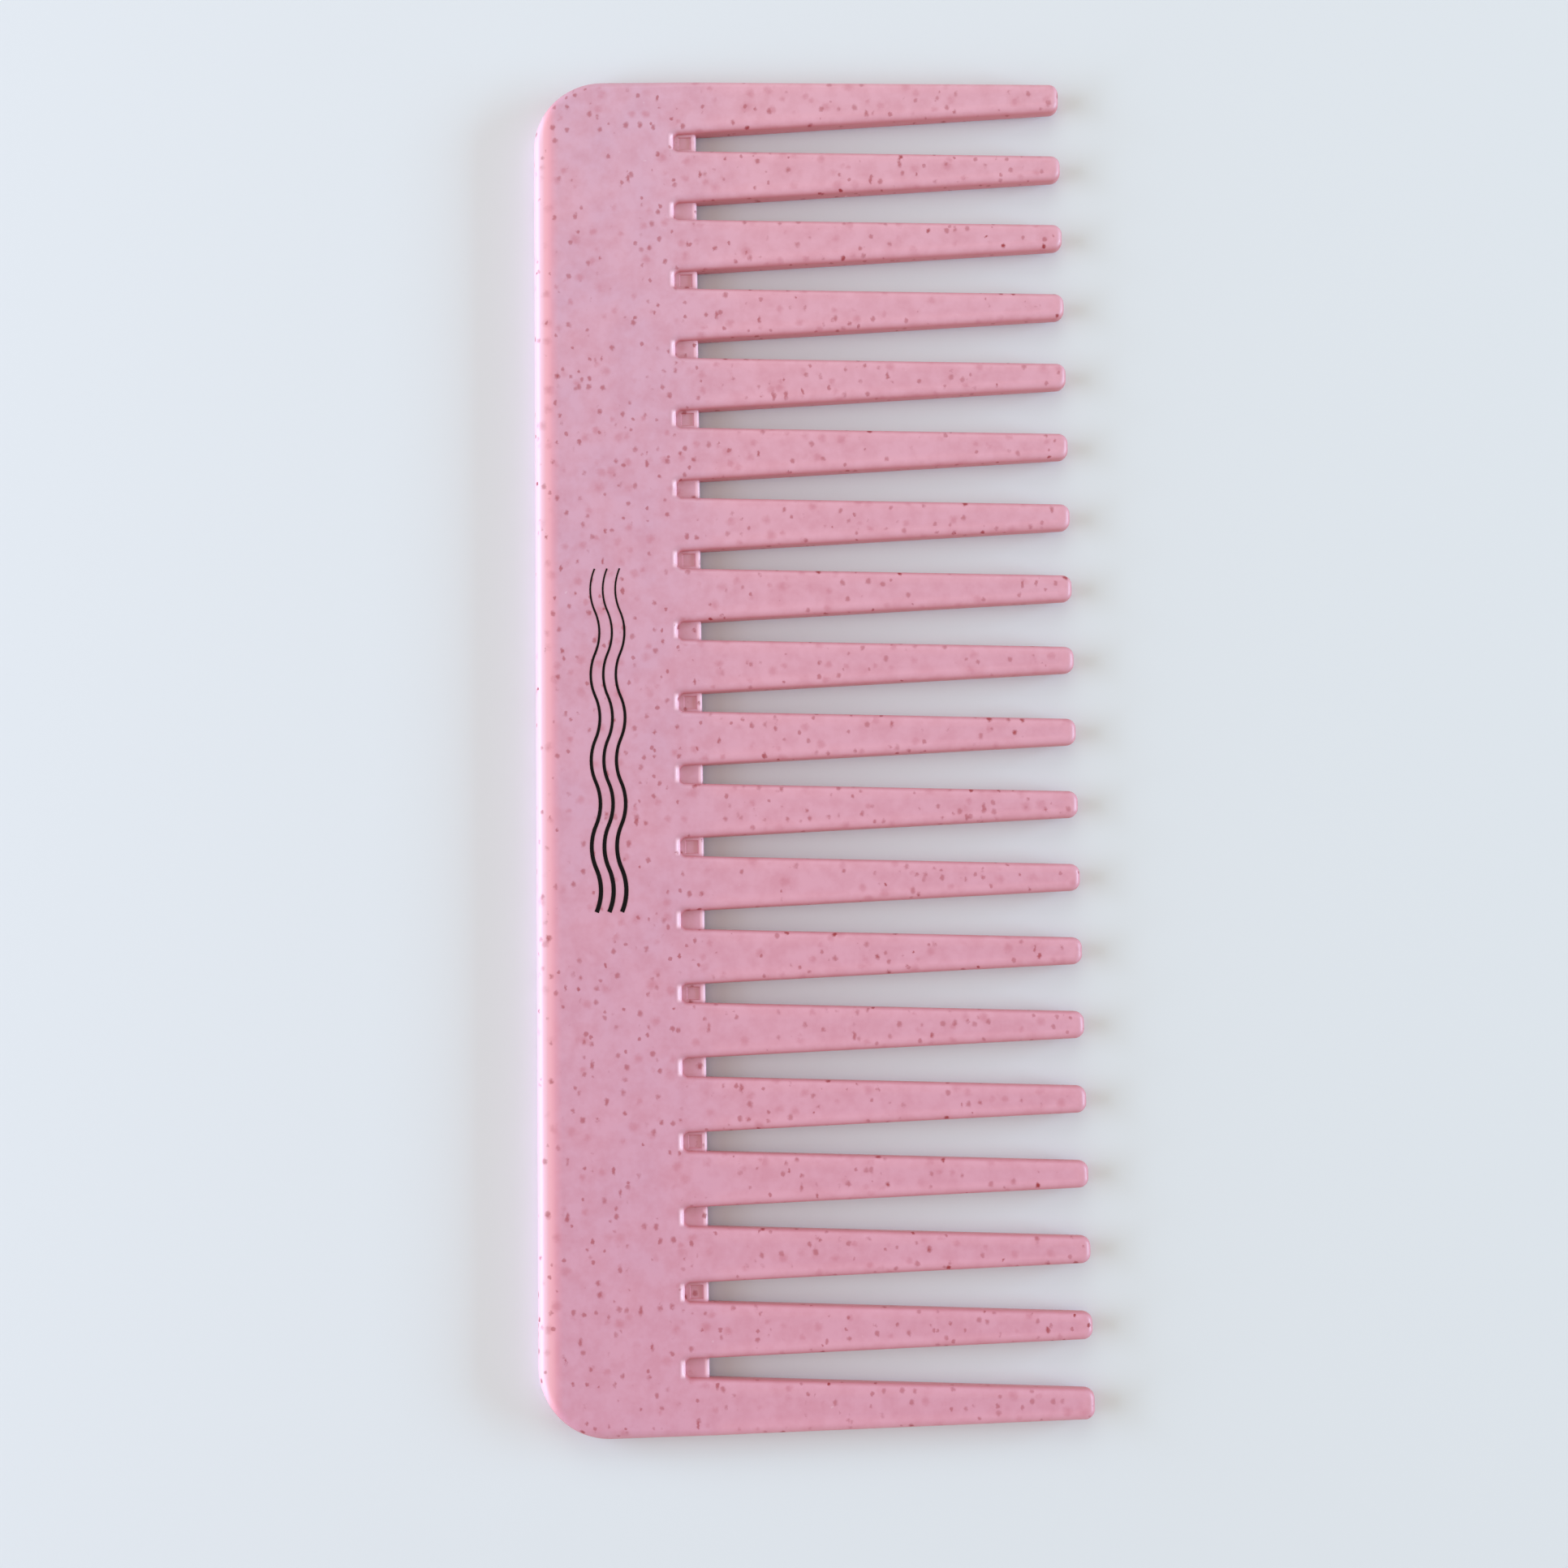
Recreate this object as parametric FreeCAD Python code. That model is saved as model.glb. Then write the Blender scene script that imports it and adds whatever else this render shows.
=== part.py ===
import FreeCAD, Part
import math
import os

# A wide tooth comb, injection moulded in one piece and printed on one face.
# It lies flat: +X runs from the back edge to the tooth tips, +Y along the row
# of teeth, +Z up. Z = 0 is the surface that it lies on, and X = Y = 0 is the
# middle of its outline. In the functions, "reach" is the distance from the
# back edge along +X. All sizes are in millimetres.

# Whole comb
comb_length = 190.0          # along Y, over the two end teeth
comb_width = 75.0            # along X, from the back edge to the tips
thickness = 3.4              # of the spine and of each tooth at its root
corner_radius = 9.7          # of the spine's two back corners, in plan
back_rounding = 1.5          # of the long back edge and its corners

# Row of teeth
tooth_count = 19
guard_offset = 4.28          # from the end tooth's middle line to its outer side, at the corners
guard_tip_offset = 2.25      # the same at the tip
root_half_width = 3.72       # of a tooth where it leaves the root web
tip_half_width = 1.79
tip_thickness = 2.85
tip_corner_radius = 1.3      # in plan
edge_rounding = 1.0          # of every long edge of the teeth and the gaps

# Root webs: a thin floor that closes the inner end of each gap
spine_width = 20.0           # from the back edge to the inner end of the gaps
web_length = 3.2
web_thickness = 1.2
web_rounding = 0.45
gap_corner_radius = 0.5      # in plan, at the inner end of each gap
web_overlap = 0.4            # how far the web runs into the plastic round it

# Square marks of the mould's ejector pins, in every second web
ejector_side = 1.85
ejector_depth = 0.12

# Printed mark: three wavy strands of ink, drawn by arcs
mark_reach = 10.2            # middle of the mark from the back edge
mark_length = 48.0
mark_half_waves = 8
mark_wave_height = 0.62      # of each half wave above the line through its ends
mark_pitch = 1.75            # between strands
mark_strands = 3
mark_wide_end = 0.62         # width of a strand at its -Y end
mark_narrow_end = 0.22       # width at its +Y end
ink_thickness = 0.03

# Worked out
mid_height = thickness / 2
split_reach = spine_width + web_length
tooth_pitch = (comb_length - 2 * guard_offset) / (tooth_count - 1)
trim_start = corner_radius + 0.5     # where the outer rounding starts to shrink
trim_end = split_reach - 0.5         # where it has shrunk to edge_rounding
beyond = 5.0                 # how far a cutting tool runs past what it cuts


def at(reach, y, z):
    """A point, given by its distance from the back edge."""
    return FreeCAD.Vector(reach - comb_width / 2, y, z)


def polygon(points):
    """A flat face with straight sides through the points."""
    return Part.Face(Part.makePolygon(points + points[:1]))


def slab(corners, low, high):
    """A plate with the plan corners (reach, y), from height low to high."""
    plan = polygon([at(reach, y, low) for reach, y in corners])
    return plan.extrude(FreeCAD.Vector(0, 0, high - low))


def tooth_centre(number):
    """The middle line of a tooth. Tooth 1 is at the -Y end."""
    return (number - (tooth_count + 1) / 2) * tooth_pitch


def between(start, end, share):
    return start + (end - start) * share


def half_width(reach):
    """Half the width of a tooth, at half its thickness."""
    share = (reach - split_reach) / (comb_width - split_reach)
    return between(root_half_width, tip_half_width, share)


def guard_half_width(reach):
    """The outer half of an end tooth, whose side runs on along the spine."""
    share = (reach - corner_radius) / (comb_width - corner_radius)
    return between(guard_offset, guard_tip_offset, share)


def end_side(reach):
    """Half the comb's length at this reach, where its end is straight."""
    return tooth_centre(tooth_count) + guard_half_width(reach)


def upright_edges(shape, reach):
    """The edges that run straight up at this reach."""
    chosen = []
    for edge in shape.Edges:
        first, last = edge.firstVertex().Point, edge.lastVertex().Point
        upright = abs(first.x - last.x) + abs(first.y - last.y) < 1e-6
        if upright and abs(first.x - at(reach, 0, 0).x) < 1e-6:
            chosen.append(edge)
    return chosen


def rim_edges(shape, low_reach, high_reach, low_y, high_y):
    """The edges round the top and bottom faces inside a plan rectangle."""
    chosen = []
    for edge in shape.Edges:
        first, last = edge.firstVertex().Point, edge.lastVertex().Point
        middle = edge.CenterOfMass
        reach = middle.x - at(0, 0, 0).x
        level = (first.z - mid_height) * (last.z - mid_height) > 0
        inside = low_reach < reach < high_reach and low_y < middle.y < high_y
        if level and inside:
            chosen.append(edge)
    return chosen


def into_comb(side):
    """The direction square to the comb's end, from outside to inside."""
    fall = end_side(0) - end_side(split_reach)
    return FreeCAD.Vector(-fall, -side * split_reach, 0).normalize()


def corner_trim(reach, side, face, radius):
    """The plastic outside a rounded edge of the comb's end, as a closed wire.

    The wire is square to the end. side is +1 or -1 along Y, and face is +1
    for the top or -1 for the bottom.
    """
    inward = into_comb(side) * radius
    down = FreeCAD.Vector(0, 0, -face * radius)
    corner = at(reach, side * end_side(reach), mid_height + face * mid_height)
    on_face = corner + inward
    on_end = corner + down
    on_arc = corner + (inward + down) * (1 - math.sqrt(0.5))
    sides = [Part.LineSegment(on_face, corner), Part.LineSegment(corner, on_end)]
    arc = Part.Arc(on_end, on_arc, on_face)
    return Part.Wire([line.toShape() for line in sides] + [arc.toShape()])


def rear_tool(reach):
    """Everything behind this reach. Its front is square to the comb's two ends."""
    half = comb_length / 2 + beyond
    points = [at(-beyond, half, -beyond), at(-beyond, -half, -beyond)]
    for side in (-1, 1):
        inward = into_comb(side)
        corner = at(reach, side * end_side(reach), -beyond)
        outer, inner = corner - inward * beyond, corner + inward * beyond
        points += [outer, inner] if side < 0 else [inner, outer]
    return polygon(points).extrude(FreeCAD.Vector(0, 0, thickness + 2 * beyond))


def spine_blank():
    """The spine without its gaps.

    Its outer edge is rounded more at the back than at the tooth roots, so the
    straight ends are trimmed with a radius that shrinks evenly.
    """
    corners = [(0, -end_side(0)), (split_reach, -end_side(split_reach)),
               (split_reach, end_side(split_reach)), (0, end_side(0))]
    plate = slab(corners, 0, thickness)
    plate = plate.makeFillet(corner_radius, upright_edges(plate, 0))
    rims = rim_edges(plate, -1, split_reach - 0.01, -comb_length, comb_length)
    rear = rear_tool(trim_start)
    back = plate.makeFillet(back_rounding, rims).common(rear)
    front = plate.cut(rear)
    for side in (-1, 1):
        for face in (-1, 1):
            wires = [corner_trim(trim_start, side, face, back_rounding),
                     corner_trim(trim_end, side, face, edge_rounding),
                     corner_trim(split_reach + beyond, side, face, edge_rounding)]
            front = front.cut(Part.makeLoft(wires, True, True))
    return back.fuse(front).removeSplitter().Solids[0]


def gap_tool(centre):
    """What is cut out between two teeth, with rounded inner corners."""
    inner, outer = spine_width, split_reach + beyond
    inner_half = tooth_pitch / 2 - half_width(inner)
    outer_half = tooth_pitch / 2 - half_width(outer)
    corners = [(inner, centre - inner_half), (outer, centre - outer_half),
               (outer, centre + outer_half), (inner, centre + inner_half)]
    tool = slab(corners, -beyond, thickness + beyond)
    return tool.makeFillet(gap_corner_radius, upright_edges(tool, inner))


def root_web(centre):
    """The thin floor at the inner end of a gap, with a rounded outer edge."""
    half = tooth_pitch / 2 - half_width(spine_width) + web_overlap
    half_thickness = web_thickness / 2
    inner = spine_width - web_overlap
    corners = [(inner, centre - half), (split_reach, centre - half),
               (split_reach, centre + half), (inner, centre + half)]
    web = slab(corners, mid_height - half_thickness, mid_height + half_thickness)
    front_edges = rim_edges(web, split_reach - 0.01, split_reach + 0.01, -comb_length, comb_length)
    return web.makeFillet(web_rounding, front_edges)


def ejector_mark(centre):
    """The shallow square that an ejector pin leaves in the top of a web."""
    middle = spine_width + web_length / 2
    half = ejector_side / 2
    corners = [(middle - half, centre - half), (middle + half, centre - half),
               (middle + half, centre + half), (middle - half, centre + half)]
    floor = mid_height + web_thickness / 2
    return slab(corners, floor - ejector_depth, floor + web_rounding)


def make_spine():
    """The bar that is held, with the gaps' inner ends and the root webs."""
    centres = [tooth_centre(number) + tooth_pitch / 2 for number in range(1, tooth_count)]
    spine = spine_blank()
    for centre in centres:
        spine = spine.cut(gap_tool(centre))
    rims = []
    for centre in centres:
        rims += rim_edges(spine, spine_width - 0.01, split_reach - 0.01,
                          centre - tooth_pitch / 4, centre + tooth_pitch / 4)
    spine = spine.makeFillet(edge_rounding, rims)
    spine = spine.fuse([root_web(centre) for centre in centres])
    spine = spine.cut([ejector_mark(centre) for centre in centres[::-2]])
    return spine.removeSplitter()


def make_tooth(number):
    """A tooth from the root web's outer edge to its tip.

    It narrows and thins towards the tip, and every edge past the root is
    rounded. The outer half of an end tooth is a little wider.
    """
    centre = tooth_centre(number)
    low_side = guard_half_width if number == 1 else half_width
    high_side = guard_half_width if number == tooth_count else half_width
    root, tip = split_reach, comb_width
    corners = [(root, centre - low_side(root)), (tip, centre - low_side(tip)),
               (tip, centre + high_side(tip)), (root, centre + high_side(root))]
    plan = slab(corners, -beyond, thickness + beyond)
    plan = plan.makeFillet(tip_corner_radius, upright_edges(plan, tip))
    near_side = centre - tooth_pitch
    low_tip = mid_height - tip_thickness / 2
    high_tip = mid_height + tip_thickness / 2
    side_view = polygon([at(root, near_side, 0), at(tip, near_side, low_tip),
                         at(tip, near_side, high_tip), at(root, near_side, thickness)])
    wedge = side_view.extrude(FreeCAD.Vector(0, 2 * tooth_pitch, 0))
    tooth = plan.common(wedge).Solids[0]
    rims = rim_edges(tooth, root + 0.01, tip + 0.01, centre - tooth_pitch, centre + tooth_pitch)
    return tooth.makeFillet(edge_rounding, rims)


def strand_width(share):
    """The width of an ink strand, which gets finer along its length."""
    return between(mark_wide_end, mark_narrow_end, share)


def half_wave(index, reach):
    """One arched stretch of an ink strand, as a flat face."""
    chord = mark_length / mark_half_waves
    start = index * chord - mark_length / 2
    bulge = mark_wave_height if index % 2 == 0 else -mark_wave_height
    slope = 2 * math.atan(2 * abs(bulge) / chord)
    turn = slope if bulge > 0 else -slope
    edges = []
    for share, offset, lean in ((0, 0, -turn), (0.5, bulge, 0), (1, 0, turn)):
        half = strand_width((index + share) / mark_half_waves) / 2
        middle = at(reach + offset, start + share * chord, thickness)
        across = FreeCAD.Vector(math.cos(lean), math.sin(lean), 0) * half
        edges.append((middle + across, middle - across))
    outer = Part.Arc(edges[0][0], edges[1][0], edges[2][0]).toShape()
    inner = Part.Arc(edges[2][1], edges[1][1], edges[0][1]).toShape()
    first = Part.LineSegment(edges[0][1], edges[0][0]).toShape()
    last = Part.LineSegment(edges[2][0], edges[2][1]).toShape()
    return Part.Face(Part.Wire([outer, last, inner, first]))


def ink_strand(reach):
    """A whole wavy strand of ink, standing on the spine's top face."""
    up = FreeCAD.Vector(0, 0, ink_thickness)
    stretches = [half_wave(index, reach).extrude(up) for index in range(mark_half_waves)]
    return stretches[0].fuse(stretches[1:]).Solids[0]


def make_printed_mark():
    """The print on the spine: parallel strands, each its own film of ink."""
    middle = (mark_strands - 1) / 2
    strands = [ink_strand(mark_reach + (row - middle) * mark_pitch) for row in range(mark_strands)]
    return Part.makeCompound(strands)


def write(node, shape):
    shape.exportStep("parts/" + node + ".step")


os.makedirs("parts", exist_ok=True)
write("spine", make_spine())
for number in range(1, tooth_count + 1):
    write("tooth_%02d" % number, make_tooth(number))
write("printed_mark", make_printed_mark())
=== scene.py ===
import math
import bmesh
import bpy
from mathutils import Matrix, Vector


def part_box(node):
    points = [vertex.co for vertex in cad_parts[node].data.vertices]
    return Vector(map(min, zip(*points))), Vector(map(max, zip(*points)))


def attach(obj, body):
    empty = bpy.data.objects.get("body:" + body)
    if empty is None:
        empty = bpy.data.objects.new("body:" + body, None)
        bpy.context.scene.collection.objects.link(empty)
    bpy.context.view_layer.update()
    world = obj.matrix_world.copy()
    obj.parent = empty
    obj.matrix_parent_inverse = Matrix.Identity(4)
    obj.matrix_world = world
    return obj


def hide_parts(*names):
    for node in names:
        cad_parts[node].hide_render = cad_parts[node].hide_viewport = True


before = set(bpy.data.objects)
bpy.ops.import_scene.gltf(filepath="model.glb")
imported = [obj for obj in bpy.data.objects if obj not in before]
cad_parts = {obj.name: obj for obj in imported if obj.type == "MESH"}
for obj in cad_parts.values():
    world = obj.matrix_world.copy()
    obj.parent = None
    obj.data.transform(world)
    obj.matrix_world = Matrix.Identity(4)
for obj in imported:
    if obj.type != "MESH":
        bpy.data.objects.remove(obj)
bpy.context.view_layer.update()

# ---------------------------------------------------------------- sizes
# All lengths are in metres. "Reach" is the distance from the comb's back edge.

MM = 0.001
spine_low, spine_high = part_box("spine")
second_low, second_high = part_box("tooth_02")
last_low, last_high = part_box("tooth_19")

TOOTH_COUNT = 19
BACK_X = spine_low.x
SPLIT_REACH = spine_high.x - BACK_X        # where the spine ends and the teeth start
TIP_REACH = second_high.x - BACK_X
THICKNESS = spine_high.z
MID_Z = THICKNESS / 2
ROOT_HALF_WIDTH = (second_high.y - second_low.y) / 2
SECOND_Y = (second_high.y + second_low.y) / 2
PITCH = -SECOND_Y / ((TOOTH_COUNT + 1) / 2 - 2)

TIP_HALF_WIDTH = 1.79 * MM
TIP_THICKNESS = 2.85 * MM
GUARD_TIP_OFFSET = 2.25 * MM               # outer half of an end tooth, at its tip
CORNER_RADIUS = 9.7 * MM                   # the spine's back corners, in plan
BACK_ROUNDING = 1.5 * MM
EDGE_ROUNDING = 1.0 * MM
TIP_CORNER_RADIUS = 1.3 * MM
GAP_REACH = 20.0 * MM                      # the inner end of the gaps
GAP_CORNER_RADIUS = 0.8 * MM
WEB_THICKNESS = 1.2 * MM
WEB_ROUNDING = 0.45 * MM
WEB_OVERLAP = 0.4 * MM                     # how far a web is sunk into the plastic round it
EJECTOR_SIDE = 1.85 * MM
EJECTOR_DEPTH = 0.19 * MM
EJECTOR_EDGE = 0.15 * MM
SINK_DEPTH = 0.04 * MM                     # of a tooth's face along its middle
SEAM_HALF_WIDTH = 0.07 * MM                # the line where the mould's halves meet
SEAM_HEIGHT = 0.025 * MM

ROUND_STEPS = 8                            # faces across each rounded edge
CORNER_STEPS = 28                          # faces round each back corner
GAP_CORNER_STEPS = 5
WEB_ROUND_STEPS = 6
SMALL = 0.002 * MM                         # places closer than this count as the same
HAIRLINE = 0.004 * MM                      # how far the webs stop short of the spine's end
FLAT = 0.99                                # the upward share of a flat face's normal

GUARD_ROOT_OFFSET = last_high.y - (TOOTH_COUNT - 1) / 2 * PITCH


def between(start, end, share):
    return start + (end - start) * share


def clamped(value):
    return max(0, min(1, value))


def along_tooth(reach):
    """0 at the tooth's root and 1 at its tip."""
    return (reach - SPLIT_REACH) / (TIP_REACH - SPLIT_REACH)


def tooth_centre(number):
    return (number - (TOOTH_COUNT + 1) / 2) * PITCH


def half_width(reach):
    return between(ROOT_HALF_WIDTH, TIP_HALF_WIDTH, along_tooth(reach))


def guard_half_width(reach):
    """The outer half of an end tooth. The spine's end runs on in the same line."""
    return between(GUARD_ROOT_OFFSET, GUARD_TIP_OFFSET, along_tooth(reach))


def end_y(reach):
    return tooth_centre(TOOTH_COUNT) + guard_half_width(reach)


# ---------------------------------------------------------------- mesh helpers

def bevel(mesh, edges, offset, steps):
    """Rounds edges with a part of a circle."""
    return bmesh.ops.bevel(mesh, geom=list(edges), offset=offset, offset_type="OFFSET", segments=steps,
                           profile=0.5, affect="EDGES", clamp_overlap=False, material=-1)


def cut(mesh, point, normal):
    """Adds edges where a plane crosses the mesh, and takes nothing away."""
    everything = mesh.verts[:] + mesh.edges[:] + mesh.faces[:]
    bmesh.ops.bisect_plane(mesh, geom=everything, dist=SMALL / 10, plane_co=point, plane_no=normal)


def middle(edge):
    return (edge.verts[0].co + edge.verts[1].co) / 2


def upright(edge):
    first, last = edge.verts[0].co, edge.verts[1].co
    return (first.xy - last.xy).length < SMALL


def on_faces(edge):
    """Whether an edge borders the top or the bottom face, and nothing lower."""
    heights = [face.normal.z for face in edge.link_faces]
    return any(abs(z) > FLAT for z in heights) and any(abs(z) < 0.5 for z in heights)


def raise_seam(mesh):
    """A fine raised line round the sides, where the two halves of the mould meet."""
    for height in (MID_Z - SEAM_HALF_WIDTH, MID_Z, MID_Z + SEAM_HALF_WIDTH):
        cut(mesh, (0, 0, height), (0, 0, 1))
    mesh.normal_update()
    split_x = BACK_X + SPLIT_REACH
    moves = []
    for vertex in mesh.verts:
        if abs(vertex.co.z - MID_Z) > SMALL:
            continue
        outward = Vector()
        for face in vertex.link_faces:
            flush = all(abs(corner.co.x - split_x) < SMALL for corner in face.verts)
            if not flush:
                outward += face.normal
        outward.z = 0
        if outward.length > 0:
            moves.append((vertex, outward.normalized() * SEAM_HEIGHT))
    for vertex, move in moves:
        if abs(vertex.co.x - split_x) < SMALL:
            move.x = 0
        vertex.co += move


def finished_object(name, mesh):
    """An object at the origin from a bmesh, with its faces turned outwards."""
    bmesh.ops.recalc_face_normals(mesh, faces=mesh.faces[:])
    data = bpy.data.meshes.new(name)
    mesh.to_mesh(data)
    mesh.free()
    made = bpy.data.objects.new(name, data)
    bpy.context.scene.collection.objects.link(made)
    return made


def smooth_finish(made):
    """Smooth shading that keeps flat faces flat and real corners sharp."""
    made.data.shade_smooth()
    made.data.set_sharp_from_angle(angle=math.radians(35))
    weighted = made.modifiers.new("flat_faces_stay_flat", "WEIGHTED_NORMAL")
    weighted.mode = "FACE_AREA"
    weighted.keep_sharp = True


# ---------------------------------------------------------------- the spine

def spine_plan():
    """The corners of the spine's outline, anticlockwise from its -Y back corner."""
    def at(reach, y):
        return BACK_X + reach, y

    corners = [at(0, -end_y(0)), at(SPLIT_REACH, -end_y(SPLIT_REACH))]
    for number in range(1, TOOTH_COUNT):
        low, high = tooth_centre(number), tooth_centre(number + 1)
        corners += [at(SPLIT_REACH, low + half_width(SPLIT_REACH)),
                    at(GAP_REACH, low + half_width(GAP_REACH)),
                    at(GAP_REACH, high - half_width(GAP_REACH)),
                    at(SPLIT_REACH, high - half_width(SPLIT_REACH))]
    return corners + [at(SPLIT_REACH, end_y(SPLIT_REACH)), at(0, end_y(0))]


def rim_edges(mesh, outer):
    """The unrounded edges of the two faces: round the outside, or else along the gaps."""
    found = []
    for edge in mesh.edges:
        place = middle(edge)
        if not on_faces(edge) or place.x > BACK_X + SPLIT_REACH - SMALL:
            continue
        at_end = abs(place.y) > end_y(SPLIT_REACH) - 2 * EDGE_ROUNDING
        at_back = place.x < BACK_X + CORNER_RADIUS + SMALL
        if outer == (at_end or at_back):
            found.append(edge)
    return found


def spine_bar():
    """The spine with its open gaps, every long edge rounded."""
    mesh = bmesh.new()
    plan = mesh.faces.new([mesh.verts.new((x, y, 0)) for x, y in spine_plan()])
    raised = bmesh.ops.extrude_face_region(mesh, geom=[plan])["geom"]
    tops = [item for item in raised if isinstance(item, bmesh.types.BMVert)]
    bmesh.ops.translate(mesh, verts=tops, vec=(0, 0, THICKNESS))
    bmesh.ops.recalc_face_normals(mesh, faces=mesh.faces[:])

    lean = math.atan2(end_y(0) - end_y(SPLIT_REACH), SPLIT_REACH)
    corner_offset = CORNER_RADIUS / math.tan((math.pi / 2 - lean) / 2)
    uprights = [edge for edge in mesh.edges if upright(edge)]
    back = [edge for edge in uprights if middle(edge).x < BACK_X + SMALL]
    gaps = [edge for edge in uprights if abs(middle(edge).x - BACK_X - GAP_REACH) < SMALL]
    bevel(mesh, gaps, GAP_CORNER_RADIUS, GAP_CORNER_STEPS)
    bevel(mesh, back, corner_offset, CORNER_STEPS)

    mesh.normal_update()
    bevel(mesh, rim_edges(mesh, outer=True), BACK_ROUNDING, ROUND_STEPS)
    mesh.normal_update()
    bevel(mesh, rim_edges(mesh, outer=False), EDGE_ROUNDING, ROUND_STEPS)
    tighten_ends(mesh)
    raise_seam(mesh)
    return mesh


def tighten_ends(mesh):
    """Shrinks the outer rounding to the teeth's, where the spine meets the end teeth."""
    ratio = EDGE_ROUNDING / BACK_ROUNDING
    for vertex in mesh.verts:
        place = vertex.co
        if abs(place.x - BACK_X - SPLIT_REACH) > SMALL:
            continue
        corner = Vector((place.x, math.copysign(end_y(SPLIT_REACH), place.y), 0))
        corner.z = THICKNESS if place.z > MID_Z else 0
        away = place - corner
        if max(abs(away.y), abs(away.z)) < BACK_ROUNDING + SMALL:
            vertex.co = corner + away * ratio


def root_webs():
    """The thin floors at the inner ends of the gaps. Every second one has an ejector mark."""
    mesh = bmesh.new()
    low_reach, high_reach = GAP_REACH - WEB_OVERLAP, SPLIT_REACH - HAIRLINE
    half = PITCH / 2 - half_width(GAP_REACH) + WEB_OVERLAP
    size = Vector((high_reach - low_reach, 2 * half, WEB_THICKNESS))
    for number in range(1, TOOTH_COUNT):
        centre = tooth_centre(number) + PITCH / 2
        web = bmesh.new()
        bmesh.ops.create_cube(web, size=1.0)
        bmesh.ops.scale(web, verts=web.verts[:], vec=size)
        place = Vector((BACK_X + (low_reach + high_reach) / 2, centre, MID_Z))
        bmesh.ops.translate(web, verts=web.verts[:], vec=place)
        front = [edge for edge in web.edges
                 if not upright(edge) and middle(edge).x > BACK_X + high_reach - SMALL]
        bevel(web, front, WEB_ROUNDING, WEB_ROUND_STEPS)
        if number % 2 == 0:
            press_ejector_mark(web, Vector((BACK_X + (GAP_REACH + SPLIT_REACH) / 2, centre, 0)))
        loose = bpy.data.meshes.new("web")
        web.to_mesh(loose)
        web.free()
        mesh.from_mesh(loose)
        bpy.data.meshes.remove(loose)
    return mesh


def press_ejector_mark(web, place):
    """Sinks a small square into the top of a web."""
    half = EJECTOR_SIDE / 2
    for side in (-half, half):
        cut(web, place + Vector((side, 0, 0)), (1, 0, 0))
        cut(web, place + Vector((0, side, 0)), (0, 1, 0))
    web.normal_update()
    square = [face for face in web.faces if face.normal.z > FLAT
              and (face.calc_center_median().xy - place.xy).length < half / 2]
    bmesh.ops.inset_region(web, faces=square, thickness=EJECTOR_EDGE, depth=0)
    bmesh.ops.translate(web, verts=square[0].verts[:], vec=(0, 0, -EJECTOR_DEPTH))


def joined(made, other):
    """The first object with the second one joined to it as one closed skin."""
    union = made.modifiers.new("union", "BOOLEAN")
    union.operation = "UNION"
    union.solver = "EXACT"
    union.object = other
    whole = made.evaluated_get(bpy.context.evaluated_depsgraph_get())
    data = bpy.data.meshes.new_from_object(whole)
    made.modifiers.clear()
    made.data = data
    data.name = made.name
    bpy.data.objects.remove(other)
    return made


def make_spine():
    spine = finished_object("moulded_spine", spine_bar())
    webs = finished_object("root_webs", root_webs())
    spine = joined(spine, webs)
    smooth_finish(spine)
    return spine


# ---------------------------------------------------------------- a tooth

def make_tooth(number):
    """A tapered tooth with rounded edges, slightly sunk along the middle of each face."""
    centre = tooth_centre(number)
    low_side = guard_half_width if number == 1 else half_width
    high_side = guard_half_width if number == TOOTH_COUNT else half_width
    mesh = bmesh.new()
    bmesh.ops.create_cube(mesh, size=1.0)
    for vertex in mesh.verts:
        reach = TIP_REACH if vertex.co.x > 0 else SPLIT_REACH
        side = high_side(reach) if vertex.co.y > 0 else -low_side(reach)
        half_height = between(THICKNESS, TIP_THICKNESS, along_tooth(reach)) / 2
        height = math.copysign(half_height, vertex.co.z)
        vertex.co = (BACK_X + reach, centre + side, MID_Z + height)

    tip_x = BACK_X + TIP_REACH
    corners = [edge for edge in mesh.edges if upright(edge) and middle(edge).x > tip_x - SMALL]
    bevel(mesh, corners, TIP_CORNER_RADIUS, ROUND_STEPS)
    mesh.normal_update()
    root_x = BACK_X + SPLIT_REACH
    rims = [edge for edge in mesh.edges if on_faces(edge) and middle(edge).x > root_x + SMALL]
    bevel(mesh, rims, EDGE_ROUNDING, ROUND_STEPS)
    sink_faces(mesh, centre, low_side, high_side)
    mark_thin_edges(mesh, centre, low_side, high_side)
    raise_seam(mesh)
    tooth = finished_object("moulded_tooth_%02d" % number, mesh)
    smooth_finish(tooth)
    return tooth


LINES_ALONG = (-0.9, -0.7, -0.5, -0.25, 0, 0.25, 0.5, 0.7, 0.9)   # shares of the face's half width
LINES_ACROSS = 7
LINES_FROM_TIP = (1.6 * MM, 2.4 * MM, 3.4 * MM)
LINE_FROM_ROOT = 2 * MM
SINK_FADE = 4 * MM                         # how far from its ends a face is sunk fully


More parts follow.
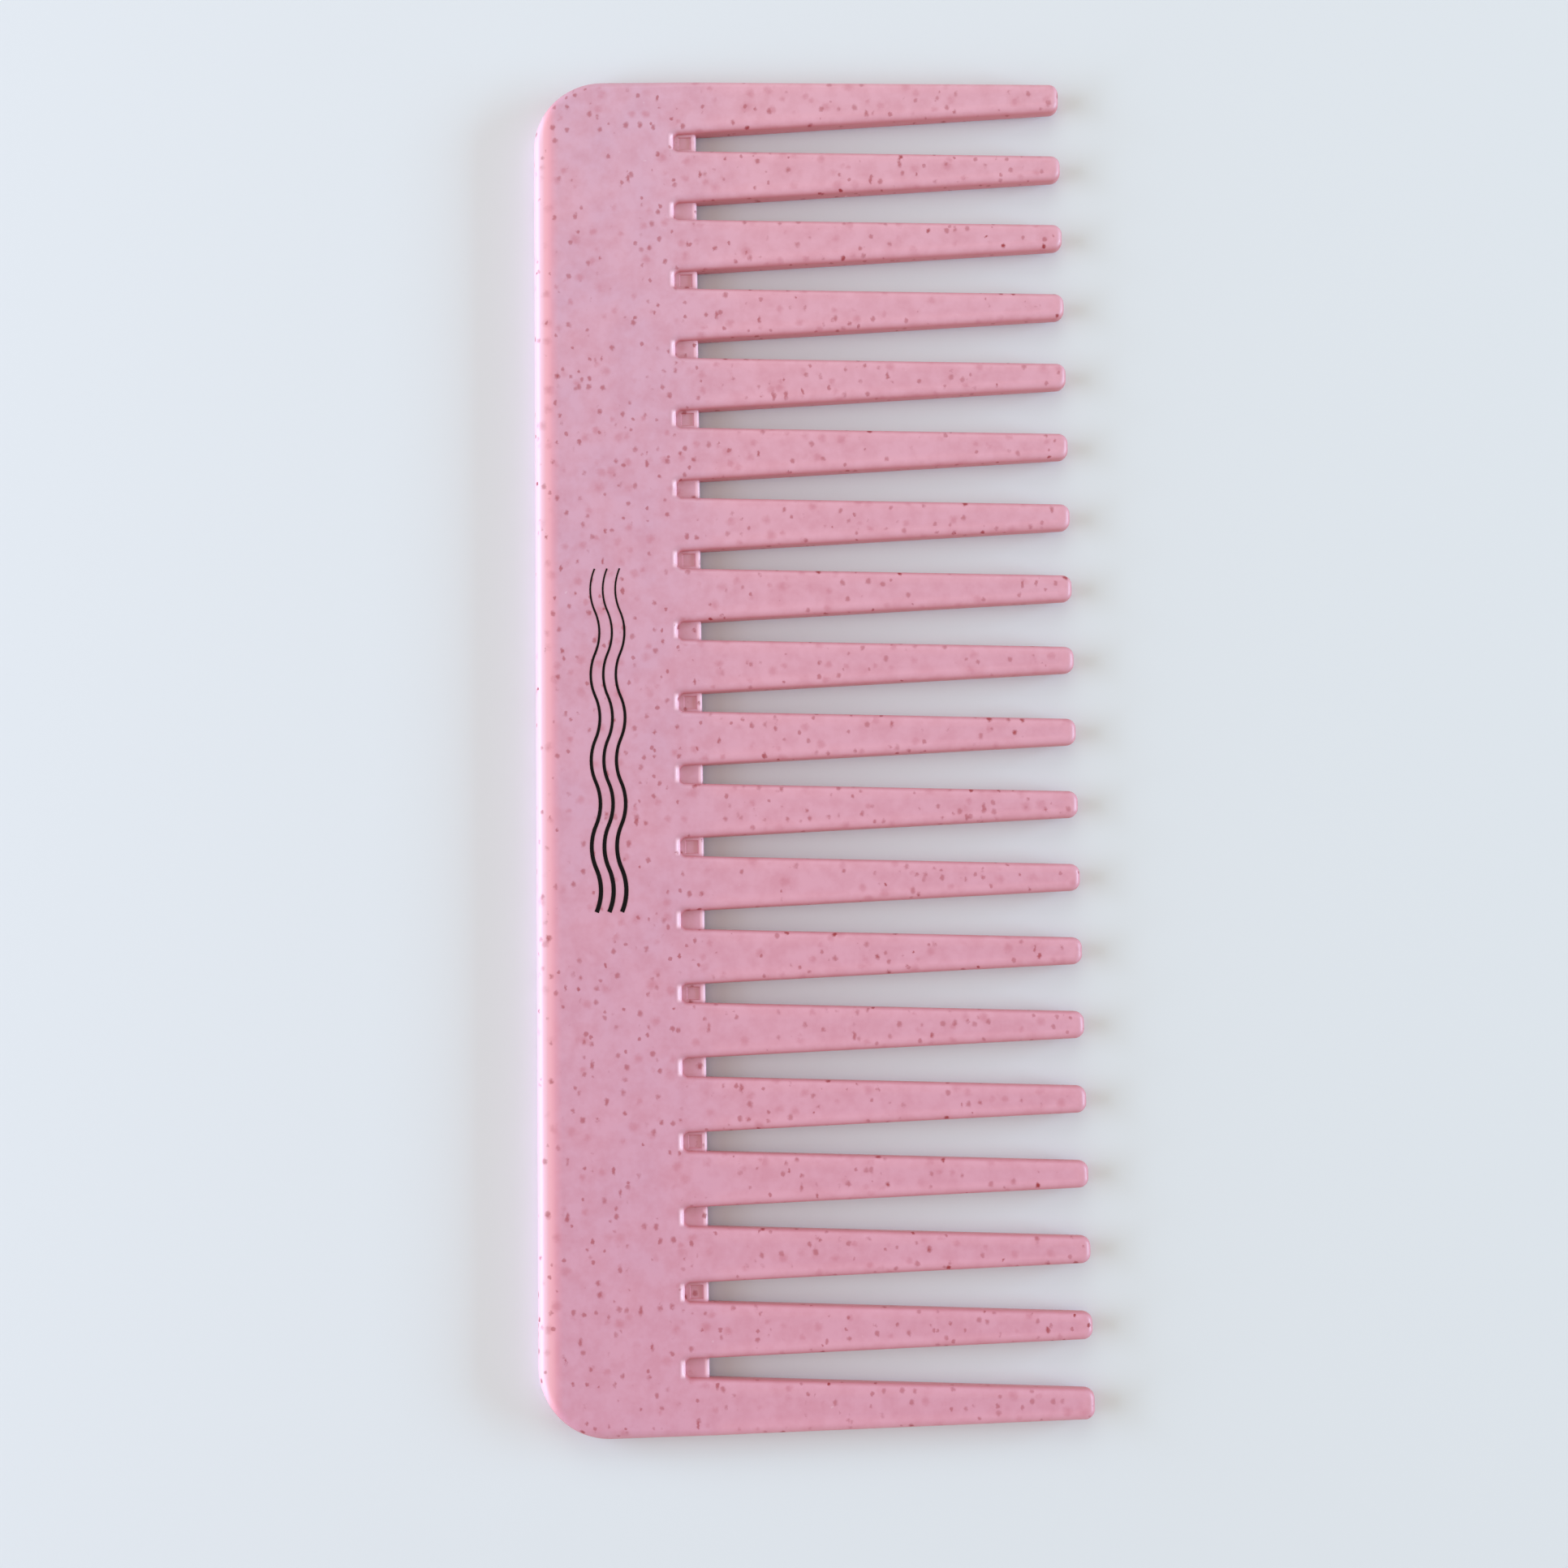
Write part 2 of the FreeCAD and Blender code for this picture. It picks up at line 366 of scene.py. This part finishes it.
def sink_faces(mesh, centre, low_side, high_side):
    """Lets the two broad faces sink a little between the rounded edges."""
    for share in LINES_ALONG:
        ends = []
        for reach in (SPLIT_REACH, TIP_REACH):
            side = (high_side(reach) if share > 0 else low_side(reach)) - EDGE_ROUNDING
            ends.append(Vector((BACK_X + reach, centre + share * side, 0)))
        line = ends[1] - ends[0]
        cut(mesh, ends[0], (-line.y, line.x, 0))
    for step in range(1, LINES_ACROSS + 1):
        reach = between(SPLIT_REACH, TIP_REACH, step / (LINES_ACROSS + 1))
        cut(mesh, (BACK_X + reach, 0, 0), (1, 0, 0))
    for inset in LINES_FROM_TIP:
        cut(mesh, (BACK_X + TIP_REACH - inset, 0, 0), (1, 0, 0))
    cut(mesh, (BACK_X + SPLIT_REACH + LINE_FROM_ROOT, 0, 0), (1, 0, 0))
    mesh.normal_update()
    for vertex in mesh.verts:
        reach = vertex.co.x - BACK_X
        offset = vertex.co.y - centre
        side = (high_side(reach) if offset > 0 else low_side(reach)) - EDGE_ROUNDING
        ends = min(reach - SPLIT_REACH, TIP_REACH - EDGE_ROUNDING - reach)
        if abs(vertex.normal.z) < 0.9 or abs(offset) > side or ends < 0:
            continue
        across = 1 - (offset / side) ** 2
        fade = min(1, ends / SINK_FADE)
        vertex.co.z -= math.copysign(SINK_DEPTH * across * fade, vertex.co.z - MID_Z)


GLOW_FADE_ROOT = 2 * MM                    # how far from the root the glow of the edges starts
GLOW_TIP = 2.4 * MM                        # from the tip inwards
GLOW_TIP_FADE = 1.6 * MM


def mark_thin_edges(mesh, centre, low_side, high_side):
    """Stores how near each point of the faces is to an edge, where more light comes through; the
    material paints a glow there from this value.
    """
    mesh.normal_update()
    near = mesh.verts.layers.float.new("near_edge")
    for vertex in mesh.verts:
        reach = vertex.co.x - BACK_X
        offset = vertex.co.y - centre
        side = (high_side(reach) if offset > 0 else low_side(reach)) - EDGE_ROUNDING
        along = clamped((reach - SPLIT_REACH) / GLOW_FADE_ROOT)
        across = clamped((abs(offset) / side - 0.5) / 0.4)
        tip = clamped((reach - TIP_REACH + GLOW_TIP) / GLOW_TIP_FADE)
        facing = clamped((abs(vertex.normal.z) - 0.3) / 0.7)
        vertex[near] = max(along * across, 1.6 * tip) * facing


# ---------------------------------------------------------------- materials

def linear(red, green, blue):
    """A colour given as shares of full screen brightness, as a linear colour."""
    def one(value):
        return value / 12.92 if value <= 0.04045 else ((value + 0.055) / 1.055) ** 2.4

    return one(red), one(green), one(blue), 1.0


PINK = linear(0.910, 0.684, 0.752)
MAUVE = linear(0.868, 0.687, 0.778)
DEEP_PINK = linear(0.862, 0.592, 0.692)
# Painted light: the next three colours are a painted glow and highlight at thin edges and rims.
PAINTED_GLOW_PINK = linear(1.0, 0.735, 0.79)
PAINTED_HIGHLIGHT_PALE = linear(1.0, 0.80, 0.87)
PAINTED_GLOW_SALMON = linear(0.99, 0.65, 0.71)
# Painted shade for steep faces, which get less light than the top.
PAINTED_SHADE_PINK = linear(0.80, 0.47, 0.49)
SPECK_BROWN = linear(0.66, 0.24, 0.27)
HAZE_BROWN = linear(0.78, 0.43, 0.49)
# Painted glints: small white dots in the colour.
PAINTED_GLINT_WHITE = linear(0.97, 0.88, 0.92)
DARK_INK = (0.002, 0.0016, 0.002, 1)
THIN_INK = (0.007, 0.005, 0.006, 1)

MAUVE_FROM = 34 * MM                       # the mauve tone grows from here towards the back edge
MAUVE_TO = 14 * MM
STEEP_FROM = 0.98                          # upward share of the normal where the painted shade on steep faces starts
STEEP_TO = 0.1
SIDE_FROM = -2 * MM                        # the painted shade is weaker near the back edge
SIDE_TO = 4 * MM

# Painted glow and highlight along the thin back edge, in place of light that comes through the plastic
# and the window's highlight on the rounding:
# colours that follow each other towards the edge, where each one starts, where it is complete, as
# distances from the edge, and its share.
BACK_EDGE_PAINTED_GLOW = ((PAINTED_GLOW_SALMON, 3.8 * MM, 1.9 * MM, 0.6), (PAINTED_GLOW_PINK, 2.9 * MM, 1.6 * MM, 1.0),
             (PAINTED_HIGHLIGHT_PALE, 1.8 * MM, 1.25 * MM, 1.0))


def new_material(name):
    material = bpy.data.materials.new(name)
    material.use_nodes = True
    material.node_tree.nodes.clear()
    return material, material.node_tree


def add(tree, kind, **settings):
    """A node with its settings, and its inputs where a setting names one."""
    node = tree.nodes.new("ShaderNode" + kind)
    for name, value in settings.items():
        if hasattr(node, name):
            setattr(node, name, value)
        else:
            node.inputs[name].default_value = value
    return node


def ramp(tree, value, start, end):
    """0 at one place and 1 at another one, with a smooth change between them."""
    node = add(tree, "MapRange", interpolation_type="SMOOTHSTEP")
    node.inputs["From Min"].default_value = start
    node.inputs["From Max"].default_value = end
    tree.links.new(value, node.inputs["Value"])
    return node.outputs[0]


def times(tree, first, second):
    node = add(tree, "Math", operation="MULTIPLY")
    tree.links.new(first, node.inputs[0])
    tree.links.new(second, node.inputs[1])
    return node.outputs[0]


def size_of(tree, value):
    """The value without its sign."""
    node = add(tree, "Math", operation="ABSOLUTE")
    tree.links.new(value, node.inputs[0])
    return node.outputs[0]


RAGGEDNESS = 0.42                          # how far an outline is bent, as a share of the spacing
SMALLEST_GRAIN = 0.7                       # as a share of Reach
LARGEST_GRAIN = 1.35
PALEST_GRAIN = 0.4                         # as a share of the darkest one
CHAIN_WIDTH = 0.07                         # of the noise's values on both sides of a chain's line
CHAIN_CORE = 0.02


def grain_group():
    """Grains scattered through the plastic, as its surface cuts and shows them.

    Spacing is the space between grains. A grain is fully dark out to Core from
    its middle, and fades away at Reach. Share is how many places hold a grain,
    Chains how strongly they gather along curved lines, and Long how much they
    are drawn out. Shift moves the whole pattern.
    """
    group = bpy.data.node_groups.new("scattered_grains", "ShaderNodeTree")
    for name, start in (("Spacing", 0.002), ("Core", 0.0001), ("Reach", 0.0004), ("Share", 0.5),
                        ("Chains", 0.0), ("Long", 1.0), ("Shift", 0.0)):
        socket = group.interface.new_socket(name, in_out="INPUT", socket_type="NodeSocketFloat")
        socket.default_value = start
    group.interface.new_socket("Mask", in_out="OUTPUT", socket_type="NodeSocketFloat")
    link = group.links.new
    place = add(group, "TexCoord")
    given = group.nodes.new("NodeGroupInput")
    result = group.nodes.new("NodeGroupOutput")

    shifted = add(group, "VectorMath", operation="ADD")
    link(place.outputs["Object"], shifted.inputs[0])
    link(given.outputs["Shift"], shifted.inputs[1])
    per_metre = add(group, "Math", operation="DIVIDE")
    per_metre.inputs[0].default_value = 1.0
    link(given.outputs["Spacing"], per_metre.inputs[1])
    scaled = add(group, "VectorMath", operation="SCALE")
    link(shifted.outputs[0], scaled.inputs[0])
    link(per_metre.outputs[0], scaled.inputs["Scale"])

    ragged = add(group, "TexNoise", Scale=2.6, Detail=3.0, Roughness=0.65)
    link(scaled.outputs[0], ragged.inputs["Vector"])
    centred = add(group, "VectorMath", operation="SUBTRACT")
    centred.inputs[1].default_value = (0.5, 0.5, 0.5)
    link(ragged.outputs["Color"], centred.inputs[0])
    weak = add(group, "VectorMath", operation="SCALE")
    weak.inputs["Scale"].default_value = RAGGEDNESS
    link(centred.outputs[0], weak.inputs[0])
    bent = add(group, "VectorMath", operation="ADD")
    link(scaled.outputs[0], bent.inputs[0])
    link(weak.outputs[0], bent.inputs[1])
    stretch = add(group, "CombineXYZ")
    stretch.inputs["X"].default_value = 1.0
    stretch.inputs["Z"].default_value = 1.0
    link(given.outputs["Long"], stretch.inputs["Y"])
    squeezed = add(group, "VectorMath", operation="DIVIDE")
    link(bent.outputs[0], squeezed.inputs[0])
    link(stretch.outputs[0], squeezed.inputs[1])

    cells = add(group, "TexVoronoi", feature="F1", Scale=1.0, Randomness=1.0)
    link(squeezed.outputs[0], cells.inputs["Vector"])
    chances = add(group, "SeparateColor")
    link(cells.outputs["Color"], chances.inputs[0])

    core = times(group, given.outputs["Core"], per_metre.outputs[0])
    reach = times(group, given.outputs["Reach"], per_metre.outputs[0])
    own_size = add(group, "MapRange")
    own_size.inputs["To Min"].default_value = SMALLEST_GRAIN
    own_size.inputs["To Max"].default_value = LARGEST_GRAIN
    link(chances.outputs["Green"], own_size.inputs["Value"])
    own_reach = times(group, own_size.outputs[0], reach)
    disc = add(group, "MapRange", interpolation_type="SMOOTHSTEP")
    disc.inputs["To Min"].default_value = 1.0
    disc.inputs["To Max"].default_value = 0.0
    link(cells.outputs["Distance"], disc.inputs["Value"])
    link(core, disc.inputs["From Min"])
    link(own_reach, disc.inputs["From Max"])

    drift = add(group, "TexNoise", Scale=0.24, Detail=1.0)
    link(cells.outputs["Position"], drift.inputs["Vector"])
    off_line = add(group, "Math", operation="SUBTRACT")
    off_line.inputs[1].default_value = 0.5
    link(drift.outputs["Fac"], off_line.inputs[0])
    gathered = add(group, "MapRange")
    gathered.inputs["From Min"].default_value = CHAIN_CORE
    gathered.inputs["From Max"].default_value = CHAIN_WIDTH
    gathered.inputs["To Min"].default_value = 1.0
    gathered.inputs["To Max"].default_value = 0.0
    link(size_of(group, off_line.outputs[0]), gathered.inputs["Value"])
    chained = add(group, "Math", operation="MULTIPLY_ADD")
    link(gathered.outputs[0], chained.inputs[0])
    link(given.outputs["Chains"], chained.inputs[1])
    link(given.outputs["Share"], chained.inputs[2])
    chosen = add(group, "Math", operation="LESS_THAN")
    link(chances.outputs["Red"], chosen.inputs[0])
    link(chained.outputs[0], chosen.inputs[1])

    strength = add(group, "MapRange")
    strength.inputs["To Min"].default_value = PALEST_GRAIN
    link(chances.outputs["Blue"], strength.inputs["Value"])
    kept = times(group, disc.outputs[0], chosen.outputs[0])
    link(times(group, kept, strength.outputs[0]), result.inputs["Mask"])
    return group


def place_group(tree, group, **values):
    node = tree.nodes.new("ShaderNodeGroup")
    node.node_tree = group
    for name, value in values.items():
        node.inputs[name].default_value = value
    return node


def mixed(tree, factor, first, second, share=1.0):
    """Mixes a colour over another one, by a mask times share. Colours are sockets or values."""
    mask = add(tree, "Math", operation="MULTIPLY")
    mask.inputs[1].default_value = share
    tree.links.new(factor, mask.inputs[0])
    node = add(tree, "Mix", data_type="RGBA")
    tree.links.new(mask.outputs[0], node.inputs["Factor"])
    for socket, value in ((node.inputs[6], first), (node.inputs[7], second)):
        if isinstance(value, tuple):
            socket.default_value = value
        else:
            tree.links.new(value, socket)
    return node.outputs[2]


# Widths of the painted highlight and glow at the inner ends of the gaps.
SPINE_RIM = 0.75 * MM                      # from the gap's inner end back into the spine
WEB_RIM = 0.75 * MM                        # from a web's outer edge inwards
RIM_FADE = 0.4 * MM
RIM_END = 0.02 * MM                        # how sharply a rim's colour ends at its edge


def painted_gap_end_glow(tree, axes):
    """A mask for the painted highlight and glow on the thin rims at the inner end of each gap, where
    light shines through.
    """
    from_tooth = add(tree, "Math", operation="PINGPONG")
    from_tooth.inputs[1].default_value = PITCH / 2
    tree.links.new(axes.outputs["Y"], from_tooth.inputs[0])
    tooth_side = half_width(GAP_REACH)
    in_gap = ramp(tree, from_tooth.outputs[0], tooth_side - RIM_FADE / 2, tooth_side + RIM_FADE)
    last_tooth = tooth_centre(TOOTH_COUNT)
    inside = ramp(tree, size_of(tree, axes.outputs["Y"]), last_tooth + MM, last_tooth)

    x = axes.outputs["X"]
    gap_x, web_x = BACK_X + GAP_REACH, BACK_X + SPLIT_REACH
    spine_rim = times(tree, ramp(tree, x, gap_x - SPINE_RIM, gap_x - SPINE_RIM + RIM_FADE),
                      ramp(tree, x, gap_x + RIM_END, gap_x - RIM_END))
    web_rim = times(tree, ramp(tree, x, web_x - WEB_RIM, web_x - WEB_RIM + RIM_FADE),
                    ramp(tree, x, web_x + RIM_END, web_x))
    both = add(tree, "Math", operation="ADD", use_clamp=True)
    tree.links.new(spine_rim, both.inputs[0])
    tree.links.new(web_rim, both.inputs[1])
    return times(tree, both.outputs[0], times(tree, in_gap, inside))


def speckled_plastic(grains):
    """Pink plastic filled with ground straw: brown specks, fibres, haze and cloudy tone, with painted
    glow and highlight at thin edges and rims, painted shade on steep faces and painted white glints.
    """
    material, tree = new_material("speckled_pink_plastic")
    link = tree.links.new
    place = add(tree, "TexCoord")
    axes = add(tree, "SeparateXYZ")
    link(place.outputs["Object"], axes.inputs[0])

    clouds = add(tree, "TexNoise", Scale=130.0, Detail=2.0, Roughness=0.5)
    link(place.outputs["Object"], clouds.inputs["Vector"])
    towards_back = ramp(tree, axes.outputs["X"], BACK_X + MAUVE_FROM, BACK_X + MAUVE_TO)
    colour = mixed(tree, times(tree, clouds.outputs["Fac"], towards_back), PINK, MAUVE, 1.4)
    deeper = add(tree, "MapRange")
    deeper.inputs["From Min"].default_value = last_high.y
    deeper.inputs["From Max"].default_value = -last_high.y
    link(axes.outputs["Y"], deeper.inputs["Value"])
    colour = mixed(tree, deeper.outputs[0], colour, DEEP_PINK, 0.6)

    mottle = add(tree, "TexNoise", Scale=420.0, Detail=3.0, Roughness=0.6)
    link(place.outputs["Object"], mottle.inputs["Vector"])
    patches = add(tree, "MapRange")
    patches.inputs["From Min"].default_value = 0.38
    patches.inputs["From Max"].default_value = 0.68
    link(mottle.outputs["Fac"], patches.inputs["Value"])
    colour = mixed(tree, patches.outputs[0], colour, HAZE_BROWN, 0.24)

    # Painted glow and highlight, in bands towards the back edge.
    for rim_colour, start, end, share in BACK_EDGE_PAINTED_GLOW:
        near_back = ramp(tree, axes.outputs["X"], BACK_X + start, BACK_X + end)
        colour = mixed(tree, near_back, colour, rim_colour, share)

    # Painted shade: steep faces turn a darker pink, less so near the back edge.
    steep = add(tree, "NewGeometry")
    upward = add(tree, "SeparateXYZ")
    link(steep.outputs["Normal"], upward.inputs[0])
    side = ramp(tree, size_of(tree, upward.outputs["Z"]), STEEP_FROM, STEEP_TO)
    off_back = ramp(tree, axes.outputs["X"], BACK_X + SIDE_FROM, BACK_X + SIDE_TO)
    colour = mixed(tree, times(tree, side, off_back), colour, PAINTED_SHADE_PINK, 0.9)

    # Painted glow: a lighter pink near the teeth's long edges and tips.
    painted_edge_glow = add(tree, "Attribute", attribute_name="near_edge")
    colour = mixed(tree, painted_edge_glow.outputs["Fac"], colour, PAINTED_GLOW_PINK, 0.12)
    # Painted highlight and glow: pale rims at the inner ends of the gaps.
    colour = mixed(tree, painted_gap_end_glow(tree, axes), colour, PAINTED_HIGHLIGHT_PALE)

    haze = place_group(tree, grains, Spacing=2.4 * MM, Core=0.10 * MM, Reach=0.80 * MM, Share=0.55,
                       Chains=0.5, Shift=0.31)
    colour = mixed(tree, haze.outputs[0], colour, HAZE_BROWN, 0.55)
    specks = place_group(tree, grains, Spacing=1.5 * MM, Core=0.16 * MM, Reach=0.40 * MM, Share=0.5,
                         Chains=0.75, Long=1.2, Shift=0.0)
    colour = mixed(tree, specks.outputs[0], colour, SPECK_BROWN, 1.0)
    fibres = place_group(tree, grains, Spacing=2.0 * MM, Core=0.12 * MM, Reach=0.34 * MM, Share=0.3,
                         Chains=0.3, Long=2.1, Shift=0.17)
    colour = mixed(tree, fibres.outputs[0], colour, SPECK_BROWN, 0.8)
    # Painted glints: scattered small white dots.
    pale = place_group(tree, grains, Spacing=4.0 * MM, Core=0.03 * MM, Reach=0.16 * MM, Share=0.3,
                       Shift=0.53)
    colour = mixed(tree, pale.outputs[0], colour, PAINTED_GLINT_WHITE, 0.7)

    fine = add(tree, "TexNoise", Scale=1600.0, Detail=3.0, Roughness=0.6)
    link(place.outputs["Object"], fine.inputs["Vector"])
    gloss = add(tree, "MapRange")
    gloss.inputs["To Min"].default_value = 0.33
    gloss.inputs["To Max"].default_value = 0.43
    link(fine.outputs["Fac"], gloss.inputs["Value"])
    waves = add(tree, "TexNoise", Scale=95.0, Detail=1.0)
    link(place.outputs["Object"], waves.inputs["Vector"])
    broad = add(tree, "Bump", Strength=0.25, Distance=0.0004)
    link(waves.outputs["Fac"], broad.inputs["Height"])
    close = add(tree, "Bump", Strength=0.12, Distance=0.00002)
    link(fine.outputs["Fac"], close.inputs["Height"])
    link(broad.outputs[0], close.inputs["Normal"])

    shader = add(tree, "BsdfPrincipled")
    shader.inputs["IOR"].default_value = 1.48
    link(colour, shader.inputs["Base Color"])
    link(gloss.outputs[0], shader.inputs["Roughness"])
    link(close.outputs[0], shader.inputs["Normal"])
    output = add(tree, "OutputMaterial")
    link(shader.outputs[0], output.inputs["Surface"])
    return material


def printing_ink():
    """Black ink, thin enough that its gloss and tone vary a little."""
    material, tree = new_material("black_ink")
    link = tree.links.new
    place = add(tree, "TexCoord")
    grain = add(tree, "TexNoise", Scale=2600.0, Detail=2.0)
    link(place.outputs["Object"], grain.inputs["Vector"])
    colour = mixed(tree, grain.outputs["Fac"], DARK_INK, THIN_INK)
    gloss = add(tree, "MapRange")
    gloss.inputs["To Min"].default_value = 0.40
    gloss.inputs["To Max"].default_value = 0.60
    link(grain.outputs["Fac"], gloss.inputs["Value"])
    shader = add(tree, "BsdfPrincipled")
    shader.inputs["IOR"].default_value = 1.25
    link(colour, shader.inputs["Base Color"])
    link(gloss.outputs[0], shader.inputs["Roughness"])
    output = add(tree, "OutputMaterial")
    link(shader.outputs[0], output.inputs["Surface"])
    return material


def pale_floor():
    material, tree = new_material("pale_floor")
    shader = add(tree, "BsdfPrincipled")
    shader.inputs["Base Color"].default_value = FLOOR_COLOUR
    shader.inputs["Roughness"].default_value = 0.6
    output = add(tree, "OutputMaterial")
    tree.links.new(shader.outputs[0], output.inputs["Surface"])
    return material


# ---------------------------------------------------------------- stage

FLOOR_COLOUR = linear(0.905, 0.925, 0.945)
WALL_COLOUR = linear(0.86, 0.89, 0.92)
FLOOR_RADIUS = 1.1
FLOOR_GAP = 0.01 * MM
WINDOW_DISTANCE = 1.2
ROOM_LIGHT = (1.0, 0.82, 0.63, 1)
ROOM_STRENGTH = 0.555
CAMERA_PLACE = (4.32 * MM, -36.77 * MM, 303.13 * MM)
CAMERA_ANGLES = (5.7058, 1.4839, -0.8517)  # degrees about X, Y and Z
CAMERA_LENS = 50.085                       # in millimetres, like the sensor
CAMERA_SENSOR = 36.0


def make_floor():
    mesh = bmesh.new()
    bmesh.ops.create_circle(mesh, cap_ends=True, segments=128, radius=FLOOR_RADIUS)
    bmesh.ops.translate(mesh, verts=mesh.verts[:], vec=(0, 0, -FLOOR_GAP))
    floor = finished_object("floor", mesh)
    floor.data.materials.append(pale_floor())


def area_light(name, azimuth, elevation, width, height, power, colour):
    """A soft window that faces the comb. The angles are in degrees, from +X and up."""
    turn, lift = math.radians(azimuth), math.radians(elevation)
    level = WINDOW_DISTANCE * math.cos(lift)
    place = Vector((level * math.cos(turn), level * math.sin(turn), WINDOW_DISTANCE * math.sin(lift)))
    data = bpy.data.lights.new(name, "AREA")
    data.shape = "RECTANGLE"
    data.size = width
    data.size_y = height
    data.energy = power
    data.color = colour
    lamp = bpy.data.objects.new(name, data)
    lamp.location = place
    lamp.rotation_euler = (-place).to_track_quat("-Z", "Y").to_euler()
    bpy.context.scene.collection.objects.link(lamp)


def make_room():
    """Warm light from all round, in a room whose walls look as pale as the floor."""
    room = bpy.data.worlds.new("room")
    room.use_nodes = True
    tree = room.node_tree
    light = tree.nodes["Background"]
    light.inputs["Color"].default_value = ROOM_LIGHT
    light.inputs["Strength"].default_value = ROOM_STRENGTH
    walls = add(tree, "Background")
    walls.inputs["Color"].default_value = WALL_COLOUR
    seen = add(tree, "LightPath")
    both = add(tree, "MixShader")
    tree.links.new(seen.outputs["Is Camera Ray"], both.inputs[0])
    tree.links.new(light.outputs[0], both.inputs[1])
    tree.links.new(walls.outputs[0], both.inputs[2])
    tree.links.new(both.outputs[0], tree.nodes["World Output"].inputs["Surface"])
    return room


def make_lights():
    """Daylight from windows low on both sides, one behind, and the warmer light of the room."""
    area_light("left_window_low", 180, 13, 1.4, 0.5, 16.3, (0.60, 0.77, 1.0))
    area_light("left_window", 180, 28, 1.0, 0.5, 4.3, (0.63, 0.77, 1.0))
    area_light("right_window", 0, 14, 0.9, 0.25, 13.6, (0.50, 0.78, 1.0))
    area_light("back_window", 90, 35, 1.0, 0.5, 2.0, (0.83, 0.92, 0.97))
    bpy.context.scene.world = make_room()


def make_camera():
    """Above the comb, a little beyond its -Y half, and turned slightly."""
    data = bpy.data.cameras.new("camera")
    data.sensor_width = CAMERA_SENSOR
    data.lens = CAMERA_LENS
    data.clip_start = 0.01
    camera = bpy.data.objects.new("camera", data)
    camera.location = CAMERA_PLACE
    camera.rotation_euler = [math.radians(angle) for angle in CAMERA_ANGLES]
    bpy.context.scene.collection.objects.link(camera)
    bpy.context.scene.camera = camera


# ---------------------------------------------------------------- assembly

make_camera()
make_lights()
make_floor()
bpy.context.scene.view_settings.view_transform = "Standard"

plastic = speckled_plastic(grain_group())
ink = printing_ink()

pieces = [(make_spine(), "spine")]
for number in range(1, TOOTH_COUNT + 1):
    pieces.append((make_tooth(number), "tooth_%02d" % number))
for piece, node in pieces:
    piece.data.materials.clear()
    piece.data.materials.append(plastic)
    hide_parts(node)
    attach(piece, "root")

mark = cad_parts["printed_mark"]
mark.data.materials.clear()
mark.data.materials.append(ink)
